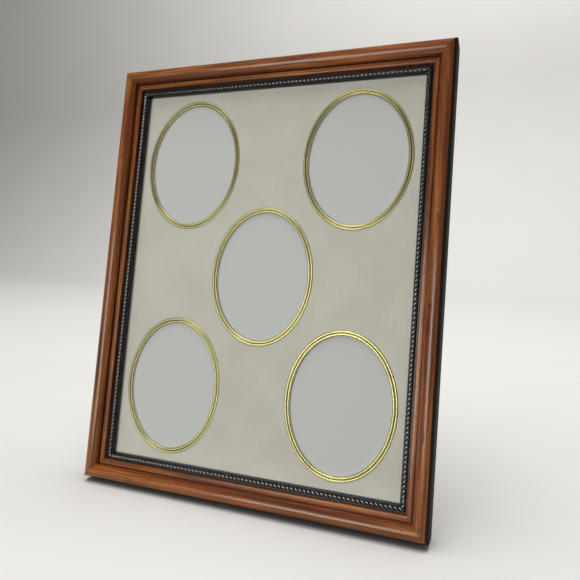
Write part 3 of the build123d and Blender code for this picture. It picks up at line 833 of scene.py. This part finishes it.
leaf_rivet = 0.012
domed_section = rivet_section(board_thickness + leaf_thickness)
bases = [stand(x, hinge_up + leaf_rivet, board_thickness) for x in (-leaf_rivet, leaf_rivet)]
rivets("hinge_rivets_on_board", bases, -forward, domed_section, "frame", "hinge_rivets_board")
bases = [on_leg(x, leaf_rivet, knuckle_radius) for x in (-leaf_rivet, leaf_rivet)]
rivets("hinge_rivets_on_leg", bases, -leg_front, domed_section, "leg", "hinge_rivets_leg")
tape_board_distance = 0.205
tape_leg_distance = 0.220
tape_tab = 0.012
flat_section = rivet_section(board_thickness + tape_thickness, flat=True)
base = stand(0.0, hinge_up - tape_board_distance - tape_tab / 2, board_thickness)
rivets("ribbon_rivet_on_board", [base], -forward, flat_section, "frame", "ribbon_rivet_board")
base = on_leg(0.0, tape_leg_distance + tape_tab / 2, leg_face - leg_thickness)
rivets("ribbon_rivet_on_leg", [base], leg_front, flat_section, "leg", "ribbon_rivet_leg")


# The ribbon: a stay of woven black cotton tape, 12 mm wide, riveted through a tab at each end. It is pulled
# tight when the leg stands open and folds when the leg closes.
tape_width = 0.012
tape_rib = 0.00075
tape_rows = 241
# How far the tape's middle stands off what it lies on, in halves of its thickness
tape_off = 1.15

tape_cloth, tree, shader, own_uv = new_material(
    "black_tape", {"Roughness": 0.9, "Specular IOR Level": 0.2, "Sheen Weight": 0.35, "Sheen Roughness": 0.4}
)
split = node(tree, "SeparateXYZ", {0: own_uv}).outputs
warp = sums("SINE", times(split["X"], 2 * math.pi / tape_rib))
weft = sums("SINE", times(split["Y"], 2 * math.pi / tape_rib))
ribs = sums("ADD", times(warp, 0.65), times(weft, 0.35))
fluff = noise(own_uv, (3200.0, 3200.0), 3.0)
threads = sums("ADD", spread(ribs, -1.0, 1.0), times(fluff, 0.5))
tint = over(spread(threads, 0.2, 1.3), (20, 18, 18), (62, 57, 54))
feed(shader, {"Base Color": tint, "Normal": bumped(threads, 0.00012, 0.8)})

corners = np.array(
    [
        stand(0.0, hinge_up - tape_board_distance - tape_tab, 0.0),
        stand(0.0, hinge_up - tape_board_distance, 0.0),
        on_leg(0.0, tape_leg_distance, leg_face),
        on_leg(0.0, tape_leg_distance + tape_tab, leg_face),
    ]
)
stops = distances(corners)
steps = np.linspace(0, stops[-1], tape_rows)
route = np.stack([np.interp(steps, stops, line) for line in corners.T], axis=1)
window = np.hanning(9)[1:-1]
padded_route = np.vstack([2 * route[0] - route[3:0:-1], route, 2 * route[-1] - route[-2:-5:-1]])
route = np.stack([np.convolve(line, window / window.sum(), "valid") for line in padded_route.T], axis=1)
heading = np.gradient(route, axis=0)
heading /= np.linalg.norm(heading, axis=1, keepdims=True)
lift = np.cross(across, heading)
side_turn = np.linspace(-math.pi / 2, math.pi / 2, 7)
half_thick = tape_thickness / 2
right_x = tape_width / 2 - half_thick + half_thick * np.cos(side_turn)
right_z = half_thick * np.sin(side_turn)
flat_x = np.linspace(tape_width / 2 - half_thick, -(tape_width / 2 - half_thick), 14)[1:-1]
section_x = np.concatenate([right_x, flat_x, -right_x, -flat_x, right_x[:1]])
section_z = np.concatenate([right_z, 0 * flat_x + half_thick, -right_z, 0 * flat_x - half_thick, right_z[:1]])
section_z = section_z + half_thick * tape_off
points = route[:, None, :] + section_x[:, None] * across + section_z[:, None] * lift[:, None, :]
middle = route[:, None, :] + 0 * section_x[:, None] * across + half_thick * lift[:, None, :]


# A blended piece turns slowly near both its ends and fast between them. So the tape is drawn as three lengths
# that meet edge to edge, and the closed leg covers it. Each cut: the share of the free length before it, and
# the share of the leg's turn that it follows there.
free_length = stops[2] - stops[1]
cuts = ((-1.0, 0.0), (0.1, 0.12), (0.9, 0.91), (2.0, 1.0))
lengths = ("stay_tape_board_end", "stay_tape_middle", "stay_tape_leg_end")
tape_rests = (["hardboard_back"], ["stay_tape_board_end", "stay_tape_leg_end"], ["hardboard_leg"])
for name, rests, before, after in zip(lengths, tape_rests, cuts, cuts[1:]):
    first, last = (int(np.argmin(np.abs(steps - stops[1] - cut[0] * free_length))) for cut in (before, after))
    place = [np.clip((steps[row] - stops[1]) / free_length, 0, 1) for row in (first, last)]
    grid = np.concatenate([middle[[first]], points[first : last + 1], middle[[last]]])
    way = np.concatenate([steps[[first]], steps[first : last + 1], steps[[last]]])
    mesh = grid_mesh(name, grid, metre_uv(way[:, None], section_x, grid.shape[:2]))
    mesh.shade_smooth()
    mesh.set_sharp_from_angle(angle=math.radians(60))
    mesh.materials.append(tape_cloth)
    tape = placed(name, mesh)
    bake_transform(tape)
    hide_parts("leg_ribbon")


# The turn buttons: eight tongues stamped from 1 mm brass, their edges rounded in the tumbler. Each turns on a
# pan-head steel screw driven into a rail, and its tip holds the back board in.
button_thickness = 0.001
button_play = 0.00005
pivot_radius = 0.0044
tip_radius = 0.0032
button_reach = 0.0105
button_hole = 0.0016
button_round = 0.00028
button_inset = 0.012
button_x, button_y = (half + button_inset for half in sight_half)
spread_x, spread_y = 0.075, 0.095
button_places = {
    "left_low": (-button_x, -spread_y, 0),
    "left_high": (-button_x, spread_y, 0),
    "right_low": (button_x, -spread_y, 180),
    "right_high": (button_x, spread_y, 180),
    "bottom_left": (-spread_x, -button_y, 90),
    "bottom_right": (spread_x, -button_y, 90),
    "top_left": (-spread_x, button_y, -90),
    "top_right": (spread_x, button_y, -90),
}

brass, tree, shader, place = new_material("brass_plate", {"Metallic": 1.0, "Anisotropic": 0.3}, "Object")
brushed = noise(place, (2600.0, 300.0, 300.0), 3.0, 0.6)
tarnish = noise(place, 130.0, 5.0, 0.65)
tint = over(brushed, (176, 140, 74), (216, 184, 112))
tint = over(spread(tarnish, 0.52, 0.75, 0.0, 0.55), tint, (112, 84, 44))
gloss = spread(brushed, 0.3, 0.7, 0.24, 0.36)
gloss = sums("ADD", gloss, spread(tarnish, 0.5, 0.8, 0.0, 0.2))
feed(shader, {"Base Color": tint, "Roughness": gloss, "Normal": bumped(brushed, 0.00002, 0.4)})

tip_middle = button_reach - tip_radius
tangent = math.acos((pivot_radius - tip_radius) / tip_middle)
turns = np.linspace(-math.pi, math.pi, 97)
on_tip = np.abs(turns) < tangent
outline_middle = np.stack([np.where(on_tip, tip_middle, 0.0), 0 * turns], axis=1)
outline_radius = np.where(on_tip, tip_radius, pivot_radius)
outward_way = np.stack([np.cos(turns), np.sin(turns)], axis=1)
round_turn = np.linspace(math.pi / 2, 0, 5)
shrink = button_round * (1 - np.cos(round_turn))
heights = button_round * (1 - np.sin(round_turn))
rims = [
    outline_middle + outward_way * (outline_radius - share)[:, None]
    for share in np.concatenate([shrink, shrink[::-1]])
]
hole = outward_way * button_hole
flat = np.stack([hole, *rims, hole, hole], axis=1)
level = np.concatenate([[0.0], heights, button_thickness - heights[::-1], [button_thickness, 0.0]])


def turned_on(middle, angle, x, y, level):
    """A flat shape turned by an angle round its middle and stood on the back: x and y by cosine and sine."""
    turn = math.radians(angle)
    right, high = middle
    right = right + x * math.cos(turn) - y * math.sin(turn)
    high = high + x * math.sin(turn) + y * math.cos(turn)
    return stand(right, high, level)


for name, (*middle, angle) in button_places.items():
    points = turned_on(middle, angle, flat[..., 0], flat[..., 1], -button_play - level)
    mesh = grid_mesh("button", points)
    piece("brass_button_" + name, mesh, brass, "turn_button_" + name, "brass", "turn_button_" + name)

screw_head = 0.0015
screw_rim = 0.0007
screw_head_radius = 0.003
slot_half = 0.00035
slot_depth = 0.0006
slot_angle, slot_step = 37.0, 53.0
rows_by_slot, head_columns = 9, 19

slot_share = slot_half / screw_head_radius
upright_share = np.append(np.linspace(-1, -slot_share, rows_by_slot), -slot_share)
upright_share = np.concatenate([upright_share, -upright_share[::-1]])
in_slot = np.zeros(len(upright_share), bool)
in_slot[rows_by_slot : rows_by_slot + 2] = True
side_share = np.linspace(-1, 1, head_columns)
head_y = screw_head_radius * upright_share[:, None] + 0 * side_share
head_x = screw_head_radius * np.sqrt(1 - upright_share**2)[:, None] * side_share
rim_share = np.clip(np.hypot(head_x, head_y) / screw_head_radius, 0, 1)
crown = screw_rim + (screw_head - screw_rim) * np.sqrt(np.clip(1 - rim_share**2.6, 0, 1))
crown = np.where(in_slot[:, None], np.minimum(crown, screw_head - slot_depth), crown)
# The underside joins the two edges of each row, and no two slots stand at the same angle
closed = [0, *range(head_columns), head_columns - 1, 0]
head_x, head_y = head_x[:, closed], head_y[:, closed]
crown = crown[:, closed] * ([0] + [1] * head_columns + [0, 0])
levels = -(button_thickness + 2 * button_play) - crown
heads = [
    turned_on(middle, slot_angle + slot_step * index, head_x, head_y, levels)
    for index, (*middle, _) in enumerate(button_places.values())
]
mesh = grid_mesh("screws", np.stack(heads))
piece("pan_head_screws", mesh, steel, "frame", "steel", "button_screws", crease=40.0)


# The hanger: a steel strap rolled round one side of a bent wire triangle and riveted near the top of the
# back board. The triangle hangs straight down when the frame stands.
hanger_y = 0.160
strap_rivet_distances = (0.0065, 0.021)
wire_radius = 0.0008
wire_width = 0.020
wire_height = 0.015
wire_bend = 0.0026

softened("steel_hanger_strap", "hanger_strap", leaf_ease, steel, "frame", "steel")
bases = [stand(0.0, hanger_y - distance, board_thickness) for distance in strap_rivet_distances]
rivets("strap_rivets", bases, -forward, domed_section, "frame", "hanger_rivets")

hanger = np.array(joints["hanger_swing"]["pos_m"])
down = np.array([0.0, 0.0, -1.0])
wire_corners = np.array([(-wire_width / 2, 0.0), (wire_width / 2, 0.0), (0.0, wire_height)])
bend_points = []
for index in range(3):
    corner, before, after = (wire_corners[(index + step) % 3] for step in (0, 2, 1))
    back_way = (before - corner) / np.linalg.norm(before - corner)
    on_way = (after - corner) / np.linalg.norm(after - corner)
    half_corner = math.acos(float(np.dot(back_way, on_way))) / 2
    bisector = (back_way + on_way) / np.linalg.norm(back_way + on_way)
    bend_middle = corner + bisector * wire_bend / math.sin(half_corner)
    first = np.arctan2(*(corner + back_way * wire_bend / math.tan(half_corner) - bend_middle)[::-1])
    sweep = math.pi - 2 * half_corner
    bend_points.append(arc(*bend_middle, wire_bend, math.degrees(first), math.degrees(first + sweep), 13))
wire_path = np.vstack(bend_points + [bend_points[0][:1]])
heading = np.roll(wire_path[:-1], -1, axis=0) - np.roll(wire_path[:-1], 1, axis=0)
heading = np.vstack([heading, heading[:1]])
heading /= np.linalg.norm(heading, axis=1, keepdims=True)
sideways = np.stack([heading[:, 1], -heading[:, 0]], axis=1)
wire_turn = np.linspace(0, 2 * math.pi, 21)
spoke = wire_radius * np.cos(wire_turn)
flat = wire_path[:, None, :] + spoke[:, None] * sideways[:, None, :]
points = hanger + flat[..., :1] * across + flat[..., 1:] * down
points = points + (wire_radius * np.sin(wire_turn))[:, None] * np.array([0.0, 1.0, 0.0])
piece("bent_wire_ring", grid_mesh("ring", points), steel, "hanger_ring", "steel", "hanger_ring")


# The setting: a pale floor that curves up into a pale backdrop, a soft lamp in front, a broad fill above, a
# lamp on the backdrop, and the camera where the photograph was taken from. Light scattered off the floor is
# dimmed, so that it tints the wood less.
floor_front, floor_back, floor_half_width = -9.0, 1.2, 6.0
curve_radius, backdrop_top = 0.8, 3.0
floor_paint, tree, shader, place = new_material(
    "pale_setting", {"Roughness": 0.7, "Specular IOR Level": 0.3}, "Object"
)
cloud = noise(place, 5.0, 2.0)
pale = over(cloud, (232, 230, 226), (238, 236, 232))
path = node(tree, "LightPath").outputs
seen = sums("MAXIMUM", path["Is Camera Ray"], path["Is Glossy Ray"])
seen = sums("MAXIMUM", seen, path["Is Transmission Ray"])
feed(shader, {"Base Color": over(seen, (128, 122, 116), pale)})
sweep_line = np.vstack(
    [
        run((floor_front, 0.0), (floor_back, 0.0), 30),
        arc(floor_back, curve_radius, curve_radius, -90, 0, 20),
        run((floor_back + curve_radius, curve_radius + 0.1), (floor_back + curve_radius, backdrop_top), 12),
    ]
)
floor_x, floor_y = np.meshgrid(np.linspace(-floor_half_width, floor_half_width, 12), sweep_line[:, 0])
floor_z = np.broadcast_to(sweep_line[:, 1:], floor_x.shape)
mesh = grid_mesh("setting", np.stack([floor_x, floor_y, floor_z], axis=-1))
mesh.shade_smooth()
mesh.materials.append(floor_paint)
setting = placed("setting", mesh)


def soft_lamp(name, place, aim, size, power):
    """A square white area lamp at a place, turned to face another."""
    lamp = bpy.data.lights.new(name, "AREA")
    lamp.shape = "SQUARE"
    lamp.size = size
    lamp.energy = power
    made = placed(name, lamp)
    made.location = place
    made.rotation_mode = "QUATERNION"
    made.rotation_quaternion = (made.location - mathutils.Vector(aim)).to_track_quat("Z", "Y")
    return made


sight_middle = frame_origin + forward * glass_front
key_distance = 1.5
key_way = np.array([-0.22, -0.96, 0.16])
key_place = sight_middle + key_distance * key_way
key = soft_lamp("key_lamp", key_place, sight_middle, size=0.7, power=16.5)
top = soft_lamp("top_lamp", (-0.3, -0.2, 2.4), (0.0, 0.0, 0.0), size=2.0, power=42.0)
rear = soft_lamp("backdrop_lamp", (0.3, 0.7, 2.3), (0.0, 2.0, 0.5), size=1.4, power=26.0)
top.visible_glossy = rear.visible_glossy = False

# The key lamp leaves out the glass, which would mirror it, and the floor, whose lit part the glass would show
unlit = bpy.data.collections.new("kept_out_of_the_key_lamp")
for index, kept_out in enumerate((pane, setting)):
    unlit.objects.link(kept_out)
    unlit.collection_objects[index].light_linking.link_state = "EXCLUDE"
key.light_linking.receiver_collection = unlit
world = bpy.context.scene.world or bpy.data.worlds.new("room")
bpy.context.scene.world = world
world.use_nodes = True
feed(world.node_tree.nodes["Background"], {"Color": (1.0, 1.0, 1.0, 1.0), "Strength": 0.22})

view_from_sight = np.array([0.1960, -0.4419, 0.0533])
view_down, view_turned = 7.75, 20.8
camera = bpy.data.cameras.new("camera")
camera.sensor_width = 36.0
camera.lens = 34.27
camera.clip_start = 0.01
standpoint = placed("camera", camera)
standpoint.location = sight_middle + view_from_sight
standpoint.rotation_euler = (math.radians(90 - view_down), 0.0, math.radians(view_turned))
bpy.context.scene.camera = standpoint
bpy.context.scene.view_settings.view_transform = "Standard"

bpy.context.view_layer.update()
